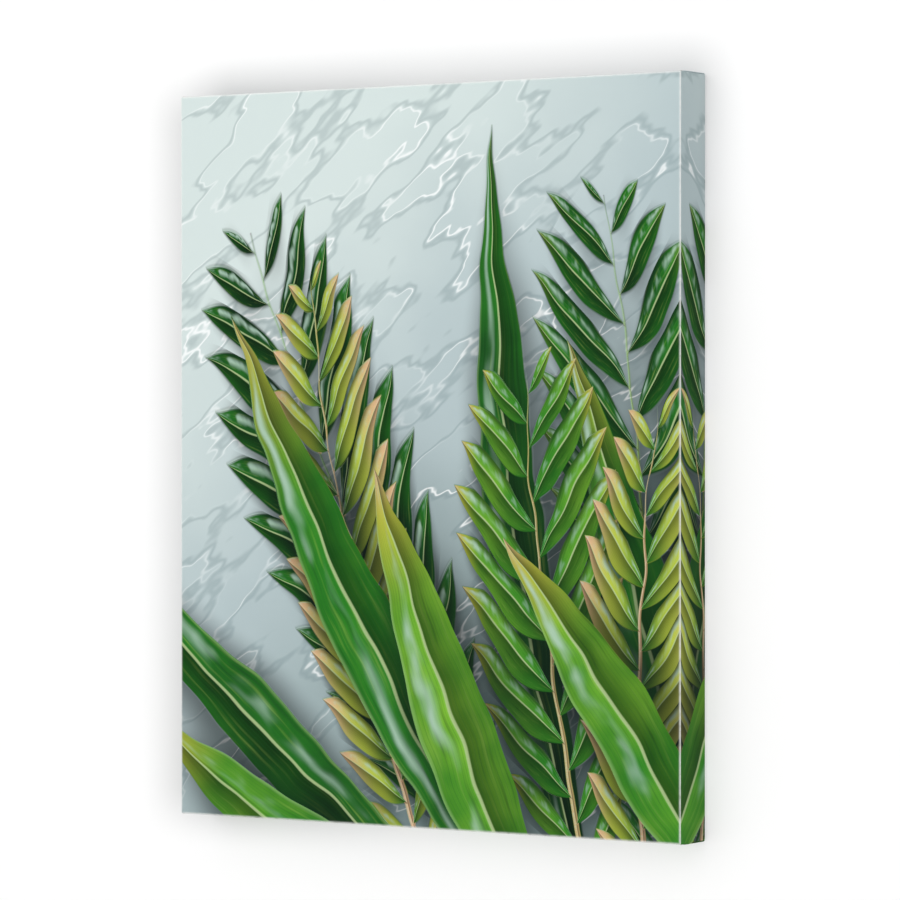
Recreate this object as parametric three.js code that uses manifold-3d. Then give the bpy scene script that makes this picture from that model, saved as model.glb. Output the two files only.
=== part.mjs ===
// A stretched canvas picture, 16 x 20 inches on 1 1/4 inch deep stretcher bars, as it hangs on a wall.
//
// A printed cloth is wrapped round four pine bars, turned over at the back and stapled there. The bars meet in mitred
// corners, each with two tongues that slide in slots, and two small keys per corner spread the bars to tension the cloth.
// A sawtooth hanger on the top bar takes the wall's nail, and two bumpers hold the lower edge off the wall.
//
// Millimetres, +Z up, the picture faces -Y. The wall is the plane Y = 0, and the origin is the tip of the hanger's middle
// notch on the wall side, where the nail bears.

import * as THREE from "three";
import { mergeVertices } from "three/addons/utils/BufferGeometryUtils.js";
import Module from "manifold-3d";

const WIDTH = 406.4; // 16 in
const HEIGHT = 508; // 20 in
const WALL_GAP = 3; // back of the cloth to the wall
const HANG_DROP = 33; // top edge down to the nail

const CLOTH = 0.6; // primed and printed canvas
const SLACK = 0.3; // air between the cloth and the wood
const CLOTH_EDGE_RADIUS = 1.3; // where the cloth turns over a bar
const CLOTH_CORNER_RADIUS = 1.5; // where two sides meet
const FLAP = 22; // cloth turned over on the back, from the outer edge

const BAR_WIDTH = 38;
const BAR_DEPTH = 31.75; // 1 1/4 in
const DEPTH = BAR_DEPTH + 2 * (CLOTH + SLACK); // picture face to the cloth on the back
const BAR_BACK = -(CLOTH + SLACK); // the wood's back face, in a side's own frame
const BAR_FRONT = BAR_BACK - BAR_DEPTH;
const BAR_EDGE = CLOTH_EDGE_RADIUS - CLOTH - SLACK; // rounding under the cloth
const RIM = 5; // the only wood that touches the front cloth
const RIM_STEP = 1.2;
const FACE_FALL = 4; // how far the front face falls away to its inner edge
const INNER_CHAMFER = 0.8;

// From the back: wood, rear tongue layer, wood, front tongue layer, wood.
const REAR_LAYER = { top: BAR_BACK - 7.5, thickness: 4.5 };
const FRONT_LAYER = { top: BAR_BACK - 16, thickness: 4.5 };
const JOINT_PLAY = 0.2; // round a tongue in its slot
const MITRE_PLAY = 0.15;
const TONGUE_SHORT = 3; // a tongue stops this far inside the outer face
const CORNER_CHAMFER = 1; // off the sharp tip of a mitre, under the cloth

const KEY_LENGTH = 36;
const KEY_INSERTED = 20;
const KEY_TIP = 4;
const KEY_BUTT = 12;
const KEY_THICKNESS = 3.8;
const KEY_PLAY = 0.3;

const STAPLE_CROWN = 10.6;
const STAPLE_LEG = 8;
const STAPLE_WIRE = { wide: 0.95, thick: 0.6 };
const STAPLE_HOLE_PLAY = 0.15;
const STAPLE_INSET = 12; // from the outer edge of the canvas
const STAPLE_END_CLEAR = 52; // last staple to the corner
const STAPLE_TILT = THREE.MathUtils.degToRad(7); // hand-driven, so never quite in line

const HANGER = { length: 46, height: 9, steel: 0.9, flat: 9, ramp: 3 };
const NOTCH = { pitch: 3, halfWidth: 1.3, depth: 1.8, eachSide: 3 };
const HANGER_LIFT = 0.1; // air under the hanger's feet
const NAIL = { headRadius: 2, headThickness: 0.8, radius: 0.8, length: 12, point: 2 };
const NAIL_INSET = 4.5; // from the hanger's end
const NAIL_HOLE_RADIUS = 1.1;
const BUMPER = { radius: 5.5, shoulder: 5.2, face: 4.4, edge: 0.8, inset: 11 };

const ROUND_SIDES = 16;
const EDGE_STEPS = 3;

const CLOTH_PRINT = { color: 0x9fbf9a, roughness: 0.75, metalness: 0 };
const PINE = { color: 0xd9b987, roughness: 0.7, metalness: 0 };
const KEY_WOOD = { color: 0xc79a63, roughness: 0.65, metalness: 0 };
const ZINC = { color: 0xb8babd, roughness: 0.35, metalness: 1 };
const BUMPER_RUBBER = { color: 0x3c3c3e, roughness: 0.6, metalness: 0 };

const wasm = await Module();
wasm.setup();

// A closed three.js geometry as a solid that can be cut or joined.
function toSolid(geometry) {
  const bare = geometry.clone();
  bare.deleteAttribute("normal");
  bare.deleteAttribute("uv");
  const merged = mergeVertices(bare, 1e-4);
  return new wasm.Manifold(
    new wasm.Mesh({
      numProp: 3,
      vertProperties: new Float32Array(merged.attributes.position.array),
      triVerts: new Uint32Array(merged.index.array),
    }),
  );
}

function toGeometry(solid) {
  const mesh = solid.getMesh();
  const geometry = new THREE.BufferGeometry();
  geometry.setAttribute("position", new THREE.BufferAttribute(mesh.vertProperties, mesh.numProp));
  geometry.setIndex(new THREE.BufferAttribute(mesh.triVerts, 1));
  geometry.computeVertexNormals();
  return geometry;
}

function cut(geometry, cutters) {
  let solid = toSolid(geometry);
  for (const cutter of cutters) solid = solid.subtract(toSolid(cutter));
  return toGeometry(solid);
}

function named(name, geometry, finish) {
  const mesh = new THREE.Mesh(geometry, new THREE.MeshStandardMaterial(finish));
  mesh.name = name;
  return mesh;
}

// An outline in the plane of the picture, [x, z] points, made solid from y = top down to y = top - thickness.
function plate(points, top, thickness) {
  const shape = new THREE.Shape(points.map(([x, z]) => new THREE.Vector2(x, z)));
  const geometry = new THREE.ExtrudeGeometry(shape, { depth: thickness, bevelEnabled: false });
  return geometry.rotateX(Math.PI / 2).translate(0, top, 0);
}

function block(width, top, thickness, height) {
  return new THREE.BoxGeometry(width, thickness, height).translate(0, top - thickness / 2, 0);
}

// A lathe profile of [radius, along] points turned about Y.
function turned(profile) {
  const points = profile.map(([radius, along]) => new THREE.Vector2(radius, along));
  return new THREE.LatheGeometry(points, ROUND_SIDES);
}

// Repeatable draws between -1 and 1.
function seededDraws(seed) {
  let state = seed;
  return () => {
    state = (state * 1664525 + 1013904223) % 4294967296;
    return (2 * state) / 4294967296 - 1;
  };
}

// ---- The cloth: one sheet round the front, the four sides and a flap on the back ----

// A slab with rounded edges and corners, from y = top down.
function roundedSlab(width, height, top, depth, edge, corner) {
  const x = width / 2;
  const z = height / 2;
  const shape = new THREE.Shape();
  shape.moveTo(-x + corner, -z);
  shape.lineTo(x - corner, -z);
  shape.absarc(x - corner, -z + corner, corner, -Math.PI / 2, 0);
  shape.lineTo(x, z - corner);
  shape.absarc(x - corner, z - corner, corner, 0, Math.PI / 2);
  shape.lineTo(-x + corner, z);
  shape.absarc(-x + corner, z - corner, corner, Math.PI / 2, Math.PI);
  shape.lineTo(-x, -z + corner);
  shape.absarc(-x + corner, -z + corner, corner, Math.PI, 1.5 * Math.PI);
  const geometry = new THREE.ExtrudeGeometry(shape, {
    depth: depth - 2 * edge,
    bevelThickness: edge,
    bevelSize: edge,
    bevelOffset: -edge,
    bevelSegments: EDGE_STEPS,
    curveSegments: EDGE_STEPS,
  });
  return geometry.rotateX(Math.PI / 2).translate(0, top - edge, 0);
}

function clothSheet(stapleHoles) {
  const outside = roundedSlab(WIDTH, HEIGHT, 0, DEPTH, CLOTH_EDGE_RADIUS, CLOTH_CORNER_RADIUS);
  const inside = roundedSlab(
    WIDTH - 2 * CLOTH,
    HEIGHT - 2 * CLOTH,
    -CLOTH,
    DEPTH - 2 * CLOTH,
    CLOTH_EDGE_RADIUS - CLOTH,
    CLOTH_CORNER_RADIUS - CLOTH,
  );
  const backWindow = block(WIDTH - 2 * FLAP, 1, 3 * CLOTH + 1, HEIGHT - 2 * FLAP);
  return named("canvas", cut(outside, [inside, backWindow, ...stapleHoles]), CLOTH_PRINT);
}

// ---- One side of the frame: bar, two keys and its staples ----
// In a side's own frame the bar runs along X, its outer face is at z = 0 and looks along +Z.

function barProfile(length) {
  const shape = new THREE.Shape();
  shape.moveTo(BAR_BACK, -BAR_WIDTH + INNER_CHAMFER);
  shape.lineTo(BAR_BACK, -BAR_EDGE);
  shape.absarc(BAR_BACK - BAR_EDGE, -BAR_EDGE, BAR_EDGE, 0, Math.PI / 2);
  shape.lineTo(BAR_FRONT + BAR_EDGE, 0);
  shape.absarc(BAR_FRONT + BAR_EDGE, -BAR_EDGE, BAR_EDGE, Math.PI / 2, Math.PI);
  shape.lineTo(BAR_FRONT, -RIM);
  shape.lineTo(BAR_FRONT + RIM_STEP, -RIM - RIM_STEP);
  shape.lineTo(BAR_FRONT + FACE_FALL, -BAR_WIDTH);
  shape.lineTo(BAR_BACK - INNER_CHAMFER, -BAR_WIDTH);
  const geometry = new THREE.ExtrudeGeometry(shape, {
    depth: length,
    bevelEnabled: false,
    curveSegments: EDGE_STEPS,
  });
  const alongX = new THREE.Matrix4().makeBasis(
    new THREE.Vector3(0, 1, 0),
    new THREE.Vector3(0, 0, 1),
    new THREE.Vector3(1, 0, 0),
  );
  return geometry.applyMatrix4(alongX).translate(-length / 2, 0, 0);
}

// The width of a key, and of its notch, at a height z above or below the bar's inner face.
function keyWidthAt(z) {
  const fromTip = KEY_INSERTED - (z + BAR_WIDTH);
  return KEY_TIP + ((KEY_BUTT - KEY_TIP) * fromTip) / KEY_LENGTH;
}

// What is cut from the end of a bar: side is 1 for the end at +X, -1 for the other.
function jointCutters(length, side, tongueLayer, slotLayer) {
  const end = length / 2;
  const beyond = end + 5;
  const neighbour = end - BAR_WIDTH; // the neighbour's inner face
  const outside = 1;
  const inside = -BAR_WIDTH - 1;
  const mirrored = (points) => points.map(([x, z]) => [side * x, z]);

  const mitre = mirrored([
    [end - MITRE_PLAY + outside, outside],
    [end - MITRE_PLAY + inside, inside],
    [beyond, inside],
    [beyond, outside],
  ]);
  const tongueTop = tongueLayer.top - JOINT_PLAY;
  const tongueThickness = tongueLayer.thickness - 2 * JOINT_PLAY;
  const tongueBottom = tongueTop - tongueThickness;

  const slotDeep = -BAR_WIDTH + KEY_INSERTED + KEY_PLAY;
  const slot = mirrored([
    [beyond, outside],
    [beyond, inside],
    [neighbour - 2 * KEY_PLAY - keyWidthAt(inside), inside],
    [neighbour - 2 * KEY_PLAY - keyWidthAt(slotDeep), slotDeep],
    [neighbour - KEY_PLAY, slotDeep],
    [neighbour - KEY_PLAY, outside],
  ]);
  const tongueEnd = mirrored([
    [end - TONGUE_SHORT, outside],
    [end - TONGUE_SHORT, inside],
    [beyond, inside],
    [beyond, outside],
  ]);
  const tip = mirrored([
    [end - CORNER_CHAMFER - outside, outside],
    [end, -CORNER_CHAMFER],
    [beyond, -CORNER_CHAMFER],
    [beyond, outside],
  ]);
  return [
    plate(mitre, 1, 1 - tongueTop),
    plate(mitre, tongueBottom, tongueBottom - BAR_FRONT + 1),
    plate(slot, slotLayer.top, slotLayer.thickness),
    plate(tongueEnd, tongueTop, tongueThickness),
    plate(tip, 1, BAR_DEPTH + 3),
  ];
}

// A key rests against the neighbour's tongue and enters the bar's slot from the hollow of the frame.
function key(name, length, side, slotLayer) {
  const straight = length / 2 - BAR_WIDTH - KEY_PLAY;
  const tip = -BAR_WIDTH + KEY_INSERTED;
  const butt = tip - KEY_LENGTH;
  const outline = [
    [straight, tip],
    [straight, butt],
    [straight - keyWidthAt(butt), butt],
    [straight - keyWidthAt(tip), tip],
  ].map(([x, z]) => [side * x, z]);
  const top = slotLayer.top - (slotLayer.thickness - KEY_THICKNESS) / 2;
  return named(name, plate(outline, top, KEY_THICKNESS), KEY_WOOD);
}

// Where the staples of a side stand, and how far each is turned.
function staplePlaces(length, count, seed) {
  const draw = seededDraws(seed);
  const first = -length / 2 + STAPLE_END_CLEAR;
  const step = (length - 2 * STAPLE_END_CLEAR) / (count - 1);
  return Array.from({ length: count }, (_, i) => ({
    x: first + i * step,
    z: -STAPLE_INSET + (CLOTH + SLACK),
    turn: STAPLE_TILT * draw(),
  }));
}

function placed(geometry, place) {
  return geometry.rotateY(place.turn).translate(place.x, 0, place.z);
}

function staple(name, place) {
  const half = STAPLE_CROWN / 2;
  const { wide, thick } = STAPLE_WIRE;
  const outline = [
    [-half, thick],
    [-half, -STAPLE_LEG + thick],
    [-half + thick, -STAPLE_LEG],
    [-half + thick, 0],
    [half - thick, 0],
    [half - thick, -STAPLE_LEG],
    [half, -STAPLE_LEG + thick],
    [half, thick],
  ];
  const shape = new THREE.Shape(outline.map(([x, y]) => new THREE.Vector2(x, y)));
  const geometry = new THREE.ExtrudeGeometry(shape, { depth: wide, bevelEnabled: false });
  return named(name, placed(geometry.translate(0, 0, -wide / 2), place), ZINC);
}

// The two leg holes of a staple, through the cloth and into the wood.
function stapleHoles(place) {
  const { wide, thick } = STAPLE_WIRE;
  const across = thick + 2 * STAPLE_HOLE_PLAY;
  return [-1, 1].map((side) => {
    const hole = block(across, 1, STAPLE_LEG + 1.5, wide + 2 * STAPLE_HOLE_PLAY);
    return placed(hole.translate((side * (STAPLE_CROWN - thick)) / 2, 0, 0), place);
  });
}

// ---- The hanger, its two nails and the bumpers, in the row frame: the wall is y = 0 ----

const woodBack = -WALL_GAP + BAR_BACK;
const hangerFoot = woodBack + HANGER_LIFT;
const nailX = HANGER.length / 2 - NAIL_INSET;
const hangerMiddle = HANGER.height / 2 - NOTCH.depth;

function sawtoothHanger() {
  const end = HANGER.length / 2;
  const rampFoot = end - HANGER.flat;
  const rampTop = rampFoot - HANGER.ramp;
  const half = [
    [rampTop, 0],
    [rampFoot, hangerFoot + HANGER.steel],
    [end, hangerFoot + HANGER.steel],
    [end, hangerFoot],
    [rampFoot, hangerFoot],
    [rampTop, -HANGER.steel],
  ];
  const outline = [...half, ...half.map(([x, y]) => [-x, y]).reverse()];
  const shape = new THREE.Shape(outline.map(([x, y]) => new THREE.Vector2(x, y)));
  const strip = new THREE.ExtrudeGeometry(shape, { depth: HANGER.height, bevelEnabled: false });
  strip.translate(0, 0, -NOTCH.depth);

  const notches = [];
  for (let i = -NOTCH.eachSide; i <= NOTCH.eachSide; i += 1) {
    const x = i * NOTCH.pitch;
    const below = 2 * NOTCH.depth;
    const spread = (NOTCH.halfWidth * below) / NOTCH.depth;
    const wedge = [
      [x, 0],
      [x - spread, -below],
      [x + spread, -below],
    ];
    notches.push(plate(wedge, 1, HANGER.steel + 2));
  }
  const holes = [-1, 1].map((side) =>
    turned([[0, -2], [NAIL_HOLE_RADIUS, -2], [NAIL_HOLE_RADIUS, 2], [0, 2]]).translate(
      side * nailX,
      hangerFoot,
      hangerMiddle,
    ),
  );
  return named("hanger", cut(strip, [...notches, ...holes]), ZINC);
}

function hangerNail(name, side) {
  const seat = hangerFoot + HANGER.steel;
  const profile = [
    [0, -NAIL.length],
    [NAIL.radius, -NAIL.length + NAIL.point],
    [NAIL.radius, 0],
    [NAIL.headRadius, 0],
    [NAIL.headRadius, NAIL.headThickness / 2],
    [NAIL.headRadius / 2, NAIL.headThickness],
    [0, NAIL.headThickness],
  ];
  return named(name, turned(profile).translate(side * nailX, seat, hangerMiddle), ZINC);
}

// The holes of the hanger's nails, in the top bar's own frame.
function hangerNailHoles() {
  const topFace = HANG_DROP - (CLOTH + SLACK);
  const bottom = hangerFoot + HANGER.steel - NAIL.length - 1 + WALL_GAP;
  return [-1, 1].map((side) =>
    turned([[0, bottom], [NAIL_HOLE_RADIUS, bottom], [NAIL_HOLE_RADIUS, 1], [0, 1]]).translate(
      side * nailX,
      0,
      hangerMiddle - topFace,
    ),
  );
}

function bumper(name, side) {
  const profile = [
    [0, -WALL_GAP],
    [BUMPER.radius, -WALL_GAP],
    [BUMPER.shoulder, -BUMPER.edge],
    [BUMPER.face, 0],
    [0, 0],
  ];
  const x = side * (WIDTH / 2 - BUMPER.inset);
  const z = HANG_DROP - HEIGHT + BUMPER.inset;
  return named(name, turned(profile).translate(x, 0, z), BUMPER_RUBBER);
}

// ---- Assembly ----

const frameWidth = WIDTH - 2 * (CLOTH + SLACK);
const frameHeight = HEIGHT - 2 * (CLOTH + SLACK);

// turn is about Y and brings a side's +Z to its outward direction. Bars that cross have each other's layers.
const SIDES = [
  { name: "top", turn: 0, length: frameWidth, reach: frameHeight / 2, upright: false, staples: 8 },
  { name: "right", turn: Math.PI / 2, length: frameHeight, reach: frameWidth / 2, upright: true, staples: 10 },
  { name: "bottom", turn: Math.PI, length: frameWidth, reach: frameHeight / 2, upright: false, staples: 8 },
  { name: "left", turn: -Math.PI / 2, length: frameHeight, reach: frameWidth / 2, upright: true, staples: 10 },
];

const canvasGroup = new THREE.Group();
canvasGroup.position.set(0, -WALL_GAP, HANG_DROP - HEIGHT / 2);
const clothHoles = [];

SIDES.forEach((side, index) => {
  const group = new THREE.Group();
  group.rotation.y = side.turn;
  group.position.set(side.reach * Math.sin(side.turn), 0, side.reach * Math.cos(side.turn));
  group.updateMatrix();

  const tongueLayer = side.upright ? REAR_LAYER : FRONT_LAYER;
  const slotLayer = side.upright ? FRONT_LAYER : REAR_LAYER;
  const places = staplePlaces(side.length, side.staples, 1 + index);
  const holes = places.flatMap(stapleHoles);
  const cutters = [
    ...jointCutters(side.length, 1, tongueLayer, slotLayer),
    ...jointCutters(side.length, -1, tongueLayer, slotLayer),
    ...holes,
  ];
  if (side.name === "top") cutters.push(...hangerNailHoles());

  group.add(named(`bar_${side.name}`, cut(barProfile(side.length), cutters), PINE));
  group.add(key(`key_${side.name}_1`, side.length, 1, slotLayer));
  group.add(key(`key_${side.name}_2`, side.length, -1, slotLayer));
  places.forEach((place, i) => group.add(staple(`staple_${side.name}_${i + 1}`, place)));
  clothHoles.push(...holes.map((hole) => hole.clone().applyMatrix4(group.matrix)));
  canvasGroup.add(group);
});
canvasGroup.add(clothSheet(clothHoles));

const picture = new THREE.Group();
picture.add(canvasGroup);
picture.add(sawtoothHanger());
picture.add(hangerNail("hanger_nail_1", 1));
picture.add(hangerNail("hanger_nail_2", -1));
picture.add(bumper("bumper_1", 1));
picture.add(bumper("bumper_2", -1));

export default picture;
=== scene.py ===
"""A stretched canvas picture on a wall: printed cloth, pine bars, keys, staples, a hanger and bumpers."""

import math
import random

import bmesh
import bpy
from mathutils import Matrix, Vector


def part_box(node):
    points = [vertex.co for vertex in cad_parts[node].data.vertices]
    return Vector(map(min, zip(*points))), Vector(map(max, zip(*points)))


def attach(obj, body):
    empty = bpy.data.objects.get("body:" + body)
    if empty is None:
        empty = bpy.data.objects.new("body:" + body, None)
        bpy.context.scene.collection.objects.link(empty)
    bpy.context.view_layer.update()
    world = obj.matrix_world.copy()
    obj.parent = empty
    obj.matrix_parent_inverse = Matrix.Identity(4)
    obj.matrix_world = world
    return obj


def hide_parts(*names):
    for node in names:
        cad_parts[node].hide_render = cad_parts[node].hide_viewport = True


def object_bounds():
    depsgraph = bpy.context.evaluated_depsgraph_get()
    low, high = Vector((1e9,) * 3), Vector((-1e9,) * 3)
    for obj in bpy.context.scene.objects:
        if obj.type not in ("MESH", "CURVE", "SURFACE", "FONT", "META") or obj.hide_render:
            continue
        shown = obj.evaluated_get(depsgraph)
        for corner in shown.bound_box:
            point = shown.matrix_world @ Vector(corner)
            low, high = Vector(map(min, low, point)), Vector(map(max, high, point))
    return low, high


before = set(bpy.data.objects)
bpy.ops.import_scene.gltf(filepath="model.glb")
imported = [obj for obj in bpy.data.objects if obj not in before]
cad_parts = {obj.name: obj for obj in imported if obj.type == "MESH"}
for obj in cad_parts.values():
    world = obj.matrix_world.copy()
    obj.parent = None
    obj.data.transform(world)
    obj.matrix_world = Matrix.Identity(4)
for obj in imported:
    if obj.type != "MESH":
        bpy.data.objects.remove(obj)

cad_low, cad_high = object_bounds()
scene = bpy.context.scene

# ---- Camera -------------------------------------------------------------------------------------
# A long lens, to the right of the picture and level with its middle.
picture_low, picture_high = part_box("canvas")
picture_middle = (picture_low + picture_high) / 2

lens = bpy.data.cameras.new("camera")
lens.sensor_width = 36
lens.lens = 165.37
camera = bpy.data.objects.new("camera", lens)
camera.location = (1.53965, picture_low.y - 2.36478, picture_middle.z + 0.02289)
camera.rotation_euler = (math.radians(90 - 0.3736), 0, math.radians(32.6657))
scene.collection.objects.link(camera)
scene.camera = camera

# ---- Canvas -------------------------------------------------------------------------------------
# One sheet of printed cotton, pulled round the bars, turned over at the back and stapled there.
# At each corner the cloth of the upright side runs on under the cloth of the top or bottom. That
# one's end is folded under along the corner, and turned in at 45 degrees on the back.
half_width = (picture_high.x - picture_low.x) / 2
half_height = (picture_high.z - picture_low.z) / 2
front = picture_low.y
depth = picture_high.y - picture_low.y
cloth = 0.0003
turn_radius = 0.0010  # over every edge and corner of the bars
flap = 0.022
tuck = 0.032  # how far a side's cloth runs on under the top's
opened_at = 0.009  # a corner's fold is fully open this far back
fold_radius = cloth + 0.00002  # of a folded end
folded_end = 2 * fold_radius + 0.00005  # how far a folded end stands proud of the cloth under it
return_step = 0.0008  # a third of the short return behind the fold
under_step = 0.0009  # a third of the strip that a folded end covers
tight_swell, loose_swell = 0.00015, 0.0009  # of the flap between staples, by the fold and at the raw edge
staple_grip = 0.012  # how far round it a staple holds the flap down
end_step, widening, end_band = 0.0015, 0.0025, 0.03  # between points: at the ends of a row, and inwards
staple_middles = [sum(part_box(name), Vector()) / 2 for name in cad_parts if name.startswith("staple")]
cutter = random.Random(5)
wander = [cutter.uniform(0, 2 * math.pi) for _ in range(2)]


def ease(low, high, x):
    share = min(max((x - low) / (high - low), 0), 1)
    return share * share * (3 - 2 * share)


def wrap_rows():
    """Rows of the wrap, from the front to the raw edge: inset, depth, and the cloth's way off the bars."""
    quarter = [math.radians(15 * i) for i in range(7)]
    side_run = depth - 2 * turn_radius
    rows = []
    for a in quarter:
        outwards, forwards = math.sin(a), math.cos(a)
        rows.append((turn_radius * (1 - outwards), turn_radius * (1 - forwards), outwards, -forwards))
    for share in (0.03, 0.07, 0.12, 0.2, 0.35, 0.5, 0.65, 0.8, 0.9, 0.96):
        rows.append((0, turn_radius + side_run * share, 1, 0))
    for a in quarter:
        outwards, backwards = math.cos(a), math.sin(a)
        back = depth - turn_radius * (1 - backwards)
        rows.append((turn_radius * (1 - outwards), back, outwards, backwards))
    for i in range(1, 13):
        rows.append((turn_radius + (flap - turn_radius) * i / 12, depth, 0, 1))
    return rows


def spaced(half):
    """Places from -half to half, closer together towards the ends."""
    places = [0.0]
    while places[-1] < half:
        places.append(places[-1] + end_step + widening * ease(0, end_band, half - places[-1]))
    places = [place * half / places[-1] for place in places]
    return [-place for place in reversed(places[1:])] + places


def swell(x, z, inset):
    """The flap lies tight at each staple and swells a little between them, most at its raw edge."""
    nearest = min(math.hypot(x - staple.x, z - staple.z) for staple in staple_middles)
    held = math.exp(-((nearest / staple_grip) ** 2))
    return (1 - held) * (tight_swell + loose_swell * ease(flap / 2, flap, inset))


def raw_edge(along, inset):
    """How far the hand-cut edge of the flap wanders."""
    wave = 0.0005 * math.sin(along / 0.013 + wander[0]) + 0.0007 * math.sin(along / 0.047 + wander[1])
    return wave * ease(0.6 * flap, flap, inset)


def upright_wrap(sign):
    """The cloth of the left or right side, which goes round the corners and on under the folded ends."""
    straight = half_height - turn_radius
    patch = []
    for inset, back, outwards, backwards in wrap_rows():
        on_flap = back > depth / 2 and inset > turn_radius
        radius = 0 if on_flap else turn_radius - inset
        under = under_step * ease(turn_radius, opened_at, back) * (back < depth - turn_radius)
        corner = []
        for i in range(1, 7):
            a = math.radians(15 * i)
            corner.append((radius * (1 - math.cos(a)), straight + radius * math.sin(a)))
        corner += [(radius + under * i, straight + radius - 0.05 * under) for i in (1, 2, 3)]
        row = [(x, -z) for x, z in reversed(corner)] + [(0, z) for z in spaced(straight)] + corner
        points = []
        for corner_inset, along in row:
            reach = half_width - inset - corner_inset
            z = picture_middle.z + along
            lift = 0
            if on_flap:
                lift = swell(sign * reach, z, inset)
                reach -= raw_edge(along, inset)
            points.append((sign * (reach + lift * outwards), front + back + lift * backwards, z))
        patch.append(points)
    return patch


def level_wrap(sign):
    """The cloth of the top or bottom, whose ends are folded under: half a turn, then a short return."""
    straight = half_width - turn_radius
    patch = []
    for inset, back, outwards, backwards in wrap_rows():
        on_flap = back > depth / 2 and inset > turn_radius
        end = straight - (inset - turn_radius if on_flap else 0)
        opened = ease(turn_radius, opened_at, back)
        fold = fold_radius * opened
        half_turn = [math.radians(30 * i) for i in range(1, 7)]
        folded = [(fold * math.sin(a), fold * (1 - math.cos(a))) for a in half_turn]
        folded += [(-return_step * i * opened, 2 * fold) for i in (1, 2, 3)]
        row = [(-end - x, down) for x, down in reversed(folded)]
        row += [(x * end / straight, 0) for x in spaced(straight)]
        row += [(end + x, down) for x, down in folded]
        points = []
        for along, down in row:
            reach = half_height - inset
            lift = folded_end * opened * (1 - ease(0.6 * tuck, tuck, straight - abs(along))) - down
            if on_flap:
                lift += swell(along, picture_middle.z + sign * reach, inset)
                reach -= raw_edge(along + sign, inset)
            z = picture_middle.z + sign * (reach + lift * outwards)
            points.append((along, front + back + lift * backwards, z))
        patch.append(points)
    return patch


def add_patch(mesh, patch, turned_over):
    """Adds rows of points to a mesh as quads."""
    rows = [[mesh.verts.new(point) for point in row] for row in patch]
    for upper, lower in zip(rows, rows[1:]):
        for i in range(len(upper) - 1):
            corners = [upper[i], upper[i + 1], lower[i + 1], lower[i]]
            mesh.faces.new(reversed(corners) if turned_over else corners)


def new_object(name, mesh):
    data = bpy.data.meshes.new(name)
    mesh.to_mesh(data)
    mesh.free()
    made = bpy.data.objects.new(name, data)
    scene.collection.objects.link(made)
    return made


sheet = bmesh.new()
face = [[(x, front, picture_middle.z + z) for x in spaced(half_width - turn_radius)]
        for z in spaced(half_height - turn_radius)]
add_patch(sheet, face, False)
add_patch(sheet, upright_wrap(1), True)
add_patch(sheet, upright_wrap(-1), False)
add_patch(sheet, level_wrap(1), False)
add_patch(sheet, level_wrap(-1), True)
bmesh.ops.remove_doubles(sheet, verts=sheet.verts, dist=5e-7)
bmesh.ops.dissolve_degenerate(sheet, edges=sheet.edges, dist=5e-7)
canvas = new_object("canvas_cloth", sheet)
canvas.data.shade_smooth()
thickness = canvas.modifiers.new("thickness", "SOLIDIFY")
thickness.thickness = cloth
thickness.offset = -1
thickness.material_offset = 1
thickness.material_offset_rim = 1
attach(canvas, "root")
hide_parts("canvas")

# The face is printed with leafy sprays and long blades on pale marble, in matt inks. Its outer
# strip is printed once more, mirrored, on the sides, and the ink runs a few millimetres on to the
# back. Past it is bare white primer.
millimetre = 0.001
bleed = 4.5  # of the ink, on to the back
full_light = 1.26  # what a white that faces the room shows, where 1 is screen white
primer_white = (0.78, 0.78, 0.76, 1)
primer_thin = (0.72, 0.71, 0.67, 1)  # where the cloth shows through
cotton_dark = (0.56, 0.51, 0.41, 1)
cotton_pale = (0.74, 0.70, 0.60, 1)
husk = (0.34, 0.27, 0.18, 1)
thread_turn = 2 * math.pi / 1.0  # one wave of the plain weave a millimetre


class Wire:
    """An output of a shader node. Arithmetic on wires adds Math nodes."""

    def __init__(self, socket):
        self.socket = socket
        self.tree = socket.id_data

    def node(self, kind, settings=None, inputs=None, output=0):
        """Adds a node of this kind beside the wire's own, and returns one of its outputs."""
        node = self.tree.nodes.new("ShaderNode" + kind)
        for name, value in (settings or {}).items():
            setattr(node, name, value)
        for name, value in (inputs or {}).items():
            if isinstance(value, Wire):
                self.tree.links.new(value.socket, node.inputs[name])
            else:
                node.inputs[name].default_value = value
        return Wire(node.outputs[output])

    def feeds(self, socket):
        self.tree.links.new(self.socket, socket)

    def maths(self, operation, *values, clamp=False):
        inputs = dict(enumerate((self, *values)))
        return self.node("Math", {"operation": operation, "use_clamp": clamp}, inputs)

    def __add__(self, other):
        return self.maths("ADD", other)

    def __sub__(self, other):
        return self.maths("SUBTRACT", other)

    def __rsub__(self, other):
        return self.node("Math", {"operation": "SUBTRACT"}, {0: other, 1: self})

    def __mul__(self, other):
        return self.maths("MULTIPLY", other)

    def __truediv__(self, other):
        return self.maths("DIVIDE", other)

    def __pow__(self, other):
        return self.maths("POWER", other)

    def __lt__(self, other):
        return self.maths("LESS_THAN", other)

    def __gt__(self, other):
        return self.maths("GREATER_THAN", other)

    def __abs__(self):
        return self.maths("ABSOLUTE")

    def times_plus(self, factor, offset, clamp=False):
        """factor x this + offset, held between 0 and 1 if asked."""
        return self.maths("MULTIPLY_ADD", factor, offset, clamp=clamp)

    def held(self, low, high):
        """This, kept between low and high."""
        return self.node("Clamp", {}, {"Value": self, "Min": low, "Max": high})

    def ramp(self, low, high, first=0, last=1):
        """Eases from first to last as this goes from low to high."""
        inputs = {"Value": self, "From Min": low, "From Max": high, "To Min": first, "To Max": last}
        return self.node("MapRange", {"interpolation_type": "SMOOTHSTEP"}, inputs)

    __radd__ = __add__
    __rmul__ = __mul__


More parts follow.
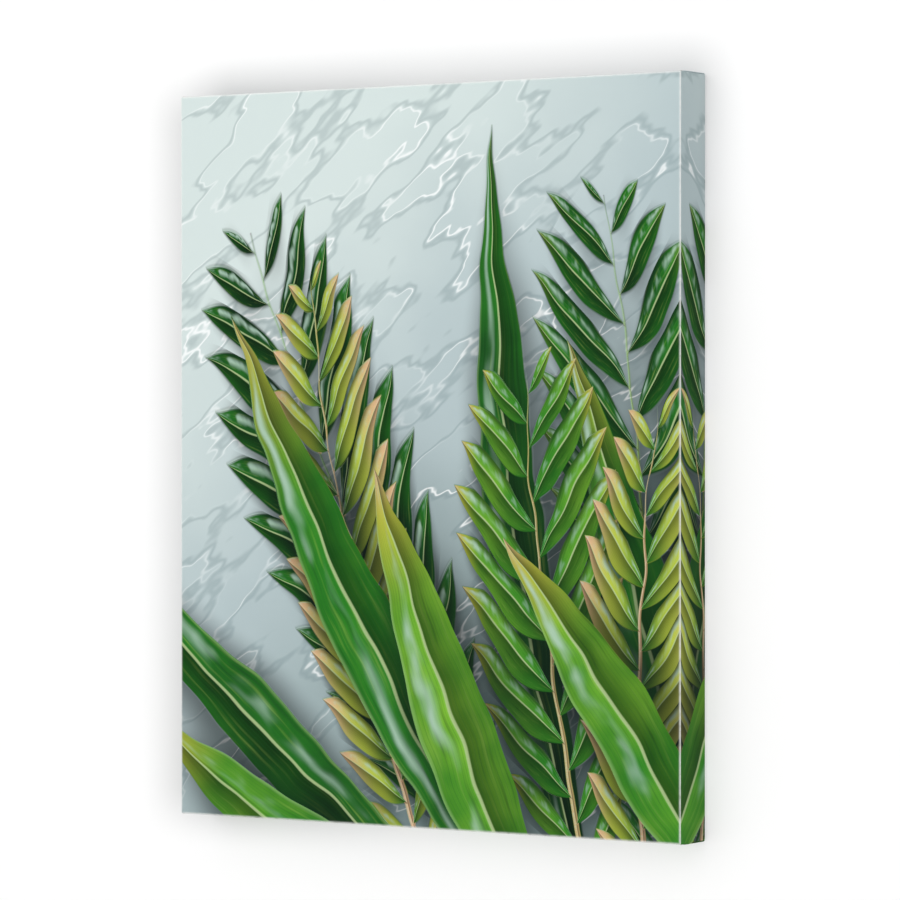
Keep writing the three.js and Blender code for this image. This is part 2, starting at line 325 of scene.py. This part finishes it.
def mix_colours(first, second, share):
    return share.node("Mix", {"data_type": "RGBA"}, {0: share, 6: first, 7: second}, 2)


def mix_vectors(first, second, share):
    return share.node("Mix", {"data_type": "VECTOR"}, {0: share, 4: first, 5: second}, 1)


def vector(x, y, z):
    wire = next(value for value in (x, y, z) if isinstance(value, Wire))
    return wire.node("CombineXYZ", {}, {0: x, 1: y, 2: z})


def parts_of(wire):
    return [wire.node("SeparateXYZ", {}, {0: wire}, output) for output in range(3)]


def placed(wire, location=(0, 0, 0), turn=0, size=(1, 1, 1)):
    """The place as seen by something that stands here, turned so many degrees, and this large."""
    inputs = {"Vector": wire, "Location": location, "Rotation": (0, 0, math.radians(turn)), "Scale": size}
    return wire.node("Mapping", {"vector_type": "TEXTURE"}, inputs)


def noise(place, size, detail=2, output=0):
    """Soft random patches of about this size."""
    return place.node("TexNoise", {}, {"Vector": place, "Scale": 1 / size, "Detail": detail}, output)


def shifted(wire, by, reach):
    """The place, pushed by a vector times a reach."""
    return wire.node("VectorMath", {"operation": "MULTIPLY_ADD"}, {0: by, 1: reach, 2: wire})


def bump(height, strength, distance, shader):
    inputs = {"Strength": strength, "Distance": distance, "Height": height}
    height.node("Bump", {}, inputs).feeds(shader["Normal"])


def new_finish(name):
    """A material, its shader's inputs, and the place on the object."""
    material = bpy.data.materials.new(name)
    material.use_nodes = True
    shader = material.node_tree.nodes["Principled BSDF"]
    return material, shader.inputs, Wire(shader.outputs[0]).node("TexCoord", output="Object")


def ink(red, green, blue):
    """The ink that shows as this screen colour where it faces the room."""
    linear = [((c / 255 + 0.055) / 1.055) ** 2.4 for c in (red, green, blue)]
    return (*[c / full_light for c in linear], 1)


def print_place(place):
    """The place on the print in millimetres from its middle, and how far in and how far back it is."""
    x, back, z = parts_of(placed(place, (0, front, picture_middle.z), 0, (millimetre,) * 3))
    from_side = half_width / millimetre - abs(x)
    from_end = half_height / millimetre - abs(z)
    on_side = from_side < from_end
    across = half_width / millimetre - abs(from_side - back * on_side)
    up = half_height / millimetre - abs(from_end - back * (1 - on_side))
    picture = vector(across * x.maths("SIGN"), up * z.maths("SIGN"), 0)
    return picture, from_side.maths("MINIMUM", from_end), back


deepest_shadow = 0.26  # how much of the light is left there
shadow_skew = 0.2  # so it reaches further on one side
tip_shadow = 0.1  # its reach where the blade lies flat, as a share of its full reach
shadow_fade = 4  # more, so that a narrow one is soft too


def lay(under, along, across, half, lift, reach, softness, look, shade=1):
    """Paints a blade of this half breadth over the shape and look of what is there. Its shadow
    reaches furthest, and is darkest, where its lift is 1, and is a thin line where that is 0."""
    inside = half - abs(across)
    mask = inside.times_plus(1 / softness, 0.5, clamp=True)
    near = lift.times_plus((1 - tip_shadow) * reach, across.times_plus(-shadow_skew, inside))
    deepest_at = (1 - tip_shadow) * reach + shadow_fade
    shadow = near.ramp(-tip_shadow * reach, deepest_at, 1, deepest_shadow)
    shape = under[0].node("VectorMath", {"operation": "MULTIPLY"}, {0: under[0], 1: vector(1, 1, shadow)})
    shape = mix_vectors(shape, vector(along, across / half, shade), mask)
    return shape, mix_vectors(under[1], look, mask)


blade_reach = 32  # of a long blade's shadow


def leaf(under, picture, foot, heading, length, breadth, bend, tone, softness, blush):
    """A single long blade, lit from the upper left whichever way it points."""
    side = math.copysign(1, math.cos(math.radians(heading - 45)))
    along, across, _ = parts_of(placed(picture, (*foot, 0), heading, (length / math.pi, side, 1)))
    along = along.held(-1.2, 4.6)
    across = (along * along).times_plus(side * bend / math.pi ** 2, across)
    fullness = along.maths("SINE")
    half = fullness * (breadth / 2)
    half = half.maths("MINIMUM", half * 14)  # so the shadow ends soon past the tip
    return lay(under, along, across, half, fullness, blade_reach, softness, (tone, 1, blush))


leaflet_angle = math.radians(38)
leaflet_breadth = 0.36  # half of it, as a share of their spacing
leaflet_lean = 0.09  # towards the tip, as another such share
stem_half = 2.4
spray_lift, spray_shadow = 0.7, 1.6  # of the whole spray's shade, which reaches past its leaflets


def spray(under, picture, foot, heading, length, leaflets, bend, tone, softness, blush):
    """A stem with leaflets on either side, which get smaller towards its ends. The wide soft shade of
    the whole spray is laid down with its stem."""
    reach, pitch = leaflets
    along, across, _ = parts_of(placed(picture, (*foot, 0), heading))
    across = (along * along).times_plus(bend / length ** 2, across)
    to_tip = along.times_plus(-1, length)
    stem = (to_tip * (stem_half / length)).maths("MINIMUM", to_tip)
    lift = (along.held(0, length) * (math.pi / length)).maths("SINE") * spray_lift
    under = lay(under, to_tip, across, stem, lift, reach * spray_shadow, softness, (tone * 0.8, 1, blush))
    # Each leaflet has a strip of the plane, askew to the stem. It leans over the one below it, and
    # the next one up lies over its other edge and shades it.
    out = abs(across)
    root = out.times_plus(-1 / math.tan(leaflet_angle), along)
    strip = ((across > 0).times_plus(pitch / 2, root) / pitch).maths("FRACT")
    step = strip - (0.5 + leaflet_lean)
    size = (step.times_plus(-pitch, root) * (math.pi / length)).held(0, math.pi).maths("SINE").maths("SQRT")
    share = (out / size.times_plus(reach, 0.01)).held(0, 1.5) * math.pi
    fullness = share.maths("SINE")
    half = fullness.maths("MAXIMUM", 0).times_plus(size, (fullness * 3).maths("MINIMUM", 0))
    half *= pitch * leaflet_breadth
    off = step * (pitch * math.sin(leaflet_angle))
    covered = strip.ramp(1, 0.76, 0.3, 1)
    return lay(under, share, off, half, fullness * size, pitch / 2, softness, (tone, 1, blush), covered)


# Each plant's foot, the way it points, its length, its breadth, how far its tip bends over, its
# tone (0 dark, 1 bright), how soft its outline is and how far it blushes. A spray has its leaflets'
# reach and spacing in place of a breadth. The furthest comes first.
foliage = [
    (spray, (90, -310), 122, 522, (78, 42), 60, 0.03, 2.4, 0),
    (leaf, (150, -330), 108, 560, 48, 90, 0.12, 1.8, 0),
    (spray, (200, -310), 90, 490, (74, 40), -50, 0.25, 1.6, 0),
    (spray, (30, -320), 113, 460, (52, 31), 70, 0.55, 1.0, 1),
    (leaf, (60, -320), 147, 450, 50, 50, 0.25, 1.2, 0),
    (leaf, (230, -330), 99, 430, 52, -40, 0.40, 1.0, 0),
    (leaf, (110, -330), 129, 500, 56, 70, 0.50, 0.8, 0),
    (spray, (150, -330), 103, 396, (66, 36), 30, 0.80, 0.6, 0),
    (spray, (190, -340), 97, 378, (50, 29), 50, 0.75, 0.6, 1),
    (leaf, (60, -330), 160, 330, 48, 46, 0.66, 0.5, 0),
    (leaf, (120, -340), 121, 370, 58, 44, 0.92, 0.4, 0),
    (leaf, (260, -320), 118, 330, 54, -36, 0.80, 0.4, 0),
]


deep_green, leaf_green, young_green = ink(14, 54, 26), ink(44, 130, 36), ink(136, 196, 58)
pale_streak, dark_streak = ink(170, 206, 98), ink(8, 40, 24)
yellow_tip, blushing_tip = ink(200, 190, 74), ink(214, 176, 148)
yellow_bud, blushing_bud = ink(184, 200, 74), ink(230, 186, 148)
vein_green, pale_rib = ink(30, 84, 44), ink(186, 208, 150)
lit_rim, sheen = ink(150, 190, 120), ink(182, 212, 194)


def leaf_colour(shape, look, picture):
    along, across, shade = parts_of(shape)
    tone, cover, blush = parts_of(look)
    share = along / math.pi
    level = tone.times_plus(0.62, share * 0.3) + (noise(picture, 45) - 0.5) * 0.5
    colour = mix_colours(deep_green, leaf_green, level.ramp(0.0, 0.55))
    colour = mix_colours(colour, young_green, level.ramp(0.45, 1.0))
    streaks = noise(vector(across * 7, share * 5, tone * 40), 1, 3)
    colour = mix_colours(colour, pale_streak, streaks.ramp(0.52, 0.85) * 0.4)
    colour = mix_colours(colour, dark_streak, streaks.ramp(0.48, 0.2) * 0.45)
    # Bright leaves yellow at the tip and blush at its very end. A blushing one does so all along.
    colour = mix_colours(colour, yellow_tip, share.ramp(0.72, 1.0) * tone.ramp(0.1, 0.7))
    colour = mix_colours(colour, blushing_tip, share.ramp(0.9, 1.02) * tone)
    colour = mix_colours(colour, yellow_bud, blush * share.ramp(0.0, 0.5))
    colour = mix_colours(colour, blushing_bud, blush * share.ramp(0.45, 1.0))
    # The blade is folded along its rib: the left half takes the light, and the right half turns
    # from it, and is brighter again where it curls up at the edge.
    left = across.ramp(-0.03, 0.03)
    slope = abs(across)
    shaded = slope.ramp(0.0, 0.95, 0.30, 0.68)
    lit = left * (1.08 - slope * 0.25 - shaded) + shaded
    colour = colour.node("VectorMath", {"operation": "SCALE"}, {0: colour, "Scale": lit})
    veins = (across * 9).maths("PINGPONG", 0.5)
    colour = mix_colours(colour, vein_green, veins.ramp(0.12, 0.0) * 0.3)
    colour = mix_colours(colour, pale_rib, slope.ramp(0.07, 0.02) * 0.75)
    wave = noise(vector(share * 7, across * 0.9, tone * 30), 1, 2)
    gleam = abs(across - wave * 0.9).ramp(0.30, 0.0) * wave.ramp(0.38, 0.62)
    colour = mix_colours(colour, sheen, gleam * 0.8)
    colour = mix_colours(colour, lit_rim, slope.ramp(0.86, 0.99) * left * 0.5)
    return colour, shade, cover


marble_pale, marble_grey, marble_shade = ink(218, 231, 229), ink(186, 202, 205), ink(130, 150, 150)
grey_vein, white_vein = ink(120, 142, 146), ink(250, 254, 254)
shadow_ink = ink(6, 20, 18)


def marble_colour(picture):
    """Marble that falls into the shade towards the lower right, with grey veins beside white ones."""
    x, y, _ = parts_of(picture)
    cloud = noise(picture, 120, 2)
    fall = x.times_plus(0.0016, 0.54) - y * 0.0020 + (cloud - 0.5) * 0.4
    colour = mix_colours(marble_pale, marble_grey, fall.ramp(0.0, 0.5))
    colour = mix_colours(colour, marble_shade, fall.ramp(0.4, 1.1))
    drift = noise(placed(picture, (0, 0, 0), 38, (110, 34, 1)), 1, 3)
    colour = mix_colours(colour, grey_vein, abs(drift - 0.5).ramp(0.03, 0.0) * 0.35)
    return mix_colours(colour, white_vein, abs(drift - 0.53).ramp(0.012, 0.0) * cloud.ramp(0.35, 0.6))


def printed_cloth():
    material, shader, place = new_finish("printed_canvas")
    picture, inset, back = print_place(place)
    u, v, _ = parts_of(picture)
    weave = (u * thread_turn).maths("SINE") * (v * thread_turn).maths("SINE")
    drawn = shifted(picture, noise(picture, 60, 1, 1), (14, 14, 0))
    painted = (vector(inset * 0, 0, 1), vector(inset * 0, 0, 0))
    for plant, *growth in foliage:
        painted = plant(painted, drawn, *growth)
    colour, shade, cover = leaf_colour(*painted, picture)
    colour = mix_colours(marble_colour(picture), colour, cover)
    colour = mix_colours(shadow_ink, colour, shade)
    # The ink is rubbed thin along the folds, and the pale line there is a painted highlight too.
    # The ink ends on the back, where the primer goes on.
    grain = noise(place, 0.004)
    fold = inset - back
    # Partly wear and partly a painted highlight: each fold is mixed towards primer white.
    fold_wear_and_highlight = fold.ramp(2.8, 0.0) ** 3 * fold.ramp(-0.8, -0.2)
    colour = mix_colours(colour, primer_white, fold_wear_and_highlight * grain.ramp(0.2, 0.6, 0.45, 0.75))
    past = back.ramp(depth / millimetre - 1.2, depth / millimetre - 0.8)
    bare = past * (inset + grain * 0.8).ramp(bleed, bleed + 0.4)
    thin = weave.times_plus(0.15, grain.ramp(0.4, 0.8), clamp=True)
    primer = mix_colours(primer_white, primer_thin, thin)
    mix_colours(colour, primer, bare).feeds(shader["Base Color"])
    bump(weave, 0.3, 0.00008, shader)
    shader["Roughness"].default_value = 0.6
    shader["Specular IOR Level"].default_value = 0.05
    return material


def raw_cloth():
    material, shader, place = new_finish("raw_canvas")
    x, _, z = parts_of(placed(place, size=(millimetre,) * 3))
    weave = (x * thread_turn).maths("SINE") * (z * thread_turn).maths("SINE")
    slub = noise(place, 0.004, 3)
    colour = mix_colours(cotton_dark, cotton_pale, weave.times_plus(0.15, slub, clamp=True))
    mix_colours(colour, husk, noise(place, 0.0012, 1).ramp(0.68, 0.76) * 0.6).feeds(shader["Base Color"])
    bump(weave, 0.5, 0.0001, shader)
    shader["Roughness"].default_value = 0.9
    shader["Specular IOR Level"].default_value = 0.2
    return material


canvas.data.materials.append(printed_cloth())
canvas.data.materials.append(raw_cloth())

# ---- Bars ---------------------------------------------------------------------------------------
# Four planed pine bars, mitred at the corners. Each is cut from its own board, with the grain
# running along it, so the growth rings show as lines on its faces and as arcs at its ends.
pine_ring = 0.0032
pine_pale = (0.72, 0.53, 0.32, 1)
pine_dark = (0.47, 0.27, 0.12, 1)
bar_arris = 0.0004


def wood(name, grain_axis, pale, dark, ring):
    material, shader, place = new_finish(name)
    chance = random.Random(name)
    stretch = [1.0, 1.0, 1.0]
    stretch[grain_axis] = 0.05
    shift = [chance.uniform(-0.5, 0.5) for _ in range(3)]
    board = place.node("Mapping", {}, {"Vector": place, "Location": shift, "Scale": stretch})
    bent = shifted(place, noise(board, 0.06, 2, 1), (0.025,) * 3)
    sides = [part for axis, part in enumerate(parts_of(bent)) if axis != grain_axis]
    pith = [chance.uniform(0.05, 0.09), chance.uniform(0.01, 0.04)]
    middle = [(low + high) / 2 for axis, (low, high) in enumerate(zip(*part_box(name))) if axis != grain_axis]
    out = [part - (centre + gap) for part, centre, gap in zip(sides, middle, pith)]
    radius = (out[0] * out[0] + out[1] * out[1]).maths("SQRT")
    growth = (radius / ring).maths("FRACT")
    late = growth.ramp(0.35, 0.9) * growth.ramp(1.0, 0.94)
    fibre = noise(board, 0.0011, 3)
    patch = noise(board, 0.02, 2)
    share = late * 0.5 + (patch - 0.5) * 0.6 + (fibre - 0.5) * 0.7
    mix_colours(pale, dark, share.ramp(-0.1, 0.9)).feeds(shader["Base Color"])
    fibre.times_plus(0.25, 0.5).feeds(shader["Roughness"])
    bump(fibre, 0.4, 0.0003, shader)
    shader["Specular IOR Level"].default_value = 0.3
    return material


def finish_node(name, material, edge):
    """Gives a piece of the frame its material, and breaks its sharp edges."""
    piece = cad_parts[name]
    piece.data.materials.clear()
    piece.data.materials.append(material)
    weld = piece.modifiers.new("weld", "WELD")
    weld.merge_threshold = 1e-5
    bevel = piece.modifiers.new("edges", "BEVEL")
    bevel.width = edge
    bevel.segments = 2
    bevel.limit_method = "ANGLE"
    bevel.angle_limit = math.radians(25)


for side, grain_axis in (("top", 0), ("bottom", 0), ("left", 2), ("right", 2)):
    bar = f"bar_{side}"
    finish_node(bar, wood(bar, grain_axis, pine_pale, pine_dark, pine_ring), bar_arris)

# ---- Keys ---------------------------------------------------------------------------------------
# Two thin hardwood wedges in each corner, tapped in from the hollow to spread the bars.
# Their grain runs along the slot that each goes into.
key_ring = 0.0018
key_pale = (0.50, 0.33, 0.17, 1)
key_dark = (0.30, 0.17, 0.08, 1)
key_arris = 0.0002

for side, grain_axis in (("top", 2), ("bottom", 2), ("left", 0), ("right", 0)):
    for number in (1, 2):
        key = f"key_{side}_{number}"
        finish_node(key, wood(key, grain_axis, key_pale, key_dark, key_ring), key_arris)

# ---- Staples, hanger and nails ------------------------------------------------------------------
# Zinc-plated steel: wire staples with flattened crowns, a pressed sawtooth strip, and the two
# flat-headed nails that hold it to the top bar.
zinc = (0.52, 0.52, 0.51, 1)
dull_zinc = (0.36, 0.36, 0.35, 1)
staple_edge = 0.00015
hanger_edge = 0.00012


def plated(name, polish):
    """Bright zinc with duller clouds, which are rougher too."""
    material, shader, place = new_finish(name)
    cloud = noise(place, 0.0016, 3)
    mix_colours(zinc, dull_zinc, cloud.ramp(0.4, 0.7)).feeds(shader["Base Color"])
    cloud.times_plus(0.3, polish).feeds(shader["Roughness"])
    bump(cloud, 0.15, 0.0001, shader)
    shader["Metallic"].default_value = 1
    return material


staple_steel = plated("staple_zinc", 0.2)
hanger_steel = plated("hanger_zinc", 0.3)
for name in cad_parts:
    if name.startswith("staple"):
        finish_node(name, staple_steel, staple_edge)
for name in ("hanger", "hanger_nail_1", "hanger_nail_2"):
    finish_node(name, hanger_steel, hanger_edge)

# ---- Bumpers ------------------------------------------------------------------------------------
# Moulded rubber buttons, stuck over the lower corners. They keep the picture upright, and off
# the paint of the wall.
rubber_black = (0.025, 0.025, 0.027, 1)
rubber_grey = (0.05, 0.05, 0.052, 1)
bumper_edge = 0.0004


def rubber():
    material, shader, place = new_finish("bumper_rubber")
    grain = noise(place, 0.0006, 3)
    mix_colours(rubber_black, rubber_grey, grain).feeds(shader["Base Color"])
    bump(grain, 0.2, 0.0001, shader)
    shader["Roughness"].default_value = 0.6
    return material


bumper_rubber = rubber()
for number in (1, 2):
    finish_node(f"bumper_{number}", bumper_rubber, bumper_edge)

# ---- Wall and floor -----------------------------------------------------------------------------
# A white wall just behind the picture, and a pale floor. Both are seen only from the room's side,
# and light passes the wall behind the picture, so that the back can be looked at too.
wall_half, floor_drop, wall_rise, floor_reach = 3.0, 1.45, 1.6, 5.0
wall_white, floor_white = (0.42, 0.42, 0.42, 1), (0.76, 0.76, 0.75, 1)
wall_glow = 0.51  # a light behind the wall's skin, which softens the shadow round the picture
left_painted_shadow, left_reach = 0.54, 0.068  # how dark the shadow painted into the glow gets left of the picture, and how far
top_painted_shadow, top_reach = 0.40, 0.037  # and above it
wall_face = cad_high.y + 0.0002
floor_level = picture_middle.z - floor_drop
wall_top = picture_middle.z + wall_rise


def backdrop(name, corners, white):
    """A matt surface of the room, and its material, its shader's inputs and its place."""
    mesh = bmesh.new()
    mesh.faces.new([mesh.verts.new(corner) for corner in corners])
    surface = new_object(name, mesh)
    material, shader, place = new_finish(name)
    shader["Roughness"].default_value = 1
    shader["Specular IOR Level"].default_value = 0
    shader["Base Color"].default_value = white
    surface.data.materials.append(material)
    return material, shader, place


def clear(material, share):
    """Lets sight and light through a material where the share is 1."""
    nodes = material.node_tree.nodes
    solid = Wire(nodes["Principled BSDF"].outputs[0])
    mixed = share.node("MixShader", {}, {0: share, 1: solid, 2: share.node("BsdfTransparent")})
    mixed.feeds(nodes["Material Output"].inputs["Surface"])


plaster, shader, place = backdrop("wall", [
    (-wall_half, wall_face, floor_level), (wall_half, wall_face, floor_level),
    (wall_half, wall_face, wall_top), (-wall_half, wall_face, wall_top),
], wall_white)
x, _, z = parts_of(placed(place, (0, 0, picture_middle.z)))
past_side = abs(x) - half_width
past_end = abs(z) - half_height
# A soft shadow of the picture is painted into the wall's glow, to its left and above it.
left = past_side.ramp(left_reach, 0.01) * past_end.ramp(0.03, -0.02) * x.ramp(0, -half_width)
top = past_end.ramp(top_reach, 0.002) * past_side.ramp(0.03, -0.02) * z.ramp(0, half_height)
((left * -left_painted_shadow + 1) * (top * -top_painted_shadow + 1)).feeds(shader["Emission Color"])
shader["Emission Strength"].default_value = wall_glow
from_behind = place.node("NewGeometry", output="Backfacing")
unseen = 1 - place.node("LightPath", output="Is Camera Ray")
behind_picture = past_side.maths("MAXIMUM", past_end) < 0
clear(plaster, from_behind.maths("MAXIMUM", behind_picture * unseen))

boards, shader, place = backdrop("floor", [
    (-wall_half, -floor_reach, floor_level), (wall_half, -floor_reach, floor_level),
    (wall_half, wall_face, floor_level), (-wall_half, wall_face, floor_level),
], floor_white)
clear(boards, place.node("NewGeometry", output="Backfacing"))

# ---- Light --------------------------------------------------------------------------------------
# A soft bright room, strongest from straight ahead of the picture, and a broad lamp high behind
# it, which only the back sees. The camera sees an even white room.
light_all_round, light_ahead = 0.4, 2.0
rear_lamp = Vector((-0.75, 0.55, 0.75))  # the way to it
rear_light, rear_fill = 1.6, 0.14

world = bpy.data.worlds.new("room")
world.use_nodes = True
scene.world = world
background = world.node_tree.nodes["Background"]
direction = Wire(background.outputs[0]).node("TexCoord", output="Generated")
ahead = (parts_of(direction)[1] * -1).maths("MAXIMUM", 0)
inputs = {0: direction, 1: rear_lamp.normalized()}
to_lamp = direction.node("VectorMath", {"operation": "DOT_PRODUCT"}, inputs, "Value")
behind = (to_lamp.maths("MAXIMUM", 0) ** 4 * rear_light + rear_fill) * (ahead < 0.0001)
light = (ahead * ahead).times_plus(light_ahead, light_all_round) + behind
seen = direction.node("LightPath", output="Is Camera Ray")
seen.node("Mix", {}, {0: seen, 2: light, 3: 1.0}).feeds(background.inputs["Color"])
scene.view_settings.view_transform = "Standard"
